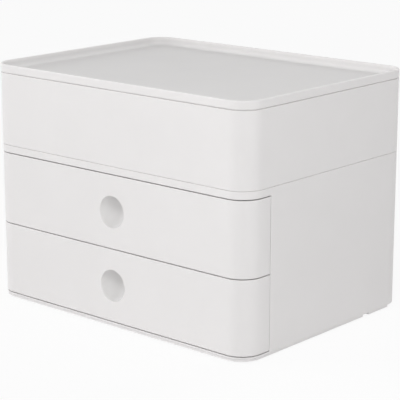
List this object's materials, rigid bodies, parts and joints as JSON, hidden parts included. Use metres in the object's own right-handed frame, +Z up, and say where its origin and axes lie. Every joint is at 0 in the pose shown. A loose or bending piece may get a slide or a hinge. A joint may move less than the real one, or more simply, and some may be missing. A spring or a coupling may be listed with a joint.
{
  "type": "file box with drawers",
  "caption": "White desk file box: wrap-round drawer fronts with sunken round grips, a lift-off storage box on top and a lid that is a shallow tray.",
  "frame": {"origin": "on the desk, at the middle of the footprint", "axes": "+X to the right as seen from the front, -Y out of the drawer fronts, +Z up"},
  "size_m": [0.26, 0.195, 0.19],
  "materials": {
    "housing_white": "gloss, fine moulded surface",
    "base_white": "satin, moulded",
    "front_white": "gloss, fine moulded surface",
    "tray_white": "satin, moulded",
    "box_white": "gloss, fine moulded surface",
    "lid_white": "gloss outside, satin tray floor",
    "foot_rubber": "matt",
    "screw_steel": "zinc plated"
  },
  "bodies": {
    "housing": {"housing_shell": "housing_white", "base_plate": "base_white", "middle_shelf": "base_white", "base_screws": "screw_steel", "foot_front_left": "foot_rubber", "foot_front_right": "foot_rubber", "foot_rear_left": "foot_rubber", "foot_rear_right": "foot_rubber"},
    "upper_drawer": {"upper_drawer_tray": "tray_white", "upper_drawer_front": "front_white", "upper_front_screws": "screw_steel"},
    "lower_drawer": {"lower_drawer_tray": "tray_white", "lower_drawer_front": "front_white", "lower_front_screws": "screw_steel"},
    "storage_box": {"utensil_box": "box_white"},
    "lid": {"lid_tray": "lid_white"}
  },
  "joints": [
    {"name": "upper_drawer_slide", "type": "slide", "parent": "housing", "child": "upper_drawer", "axis": [0, -1, 0], "range_m": [0, 0.14]},
    {"name": "lower_drawer_slide", "type": "slide", "parent": "housing", "child": "lower_drawer", "axis": [0, -1, 0], "range_m": [0, 0.14]},
    {"name": "storage_box_lift", "type": "slide", "parent": "housing", "child": "storage_box", "axis": [0, 0, 1], "range_m": [0, 0.06]},
    {"name": "lid_lift", "type": "slide", "parent": "storage_box", "child": "lid", "axis": [0, 0, 1], "range_m": [0, 0.06]}
  ]
}
